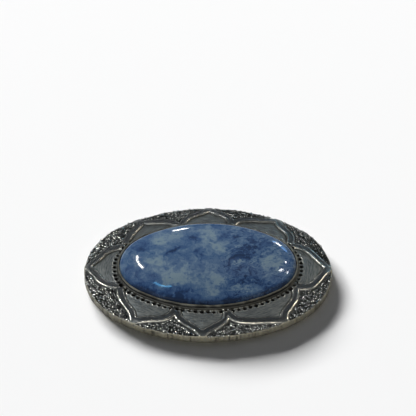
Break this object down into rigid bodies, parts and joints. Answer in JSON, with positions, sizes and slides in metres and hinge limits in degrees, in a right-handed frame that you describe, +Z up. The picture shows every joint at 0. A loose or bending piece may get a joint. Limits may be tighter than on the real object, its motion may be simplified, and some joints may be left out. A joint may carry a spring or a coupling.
{
  "type": "pottery brooch",
  "caption": "Oval domed pewter brooch with raised petal outlines round a glazed pottery cabochon in a stepped bezel, and a pin on its hollow back.",
  "frame": {"origin": "middle of the oval, on the plane of the rim's underside, which is the surface that the brooch lies on", "axes": "+X along the brooch's length, +Y across it towards the top as worn, +Z up out of the stone's face"},
  "size_m": [0.06, 0.0462, 0.0068],
  "materials": {
    "pewter": "dark oxidised pewter, satin fields and a matted ground, bright on worn edges",
    "glazed_pottery": "glossy blue and grey mottled glaze",
    "pin_metal": "dull nickel-plated steel"
  },
  "bodies": {
    "root": {"pewter_mount": "pewter", "pottery_cabochon": "glazed_pottery", "brooch_pin": "pin_metal"}
  },
  "joints": []
}
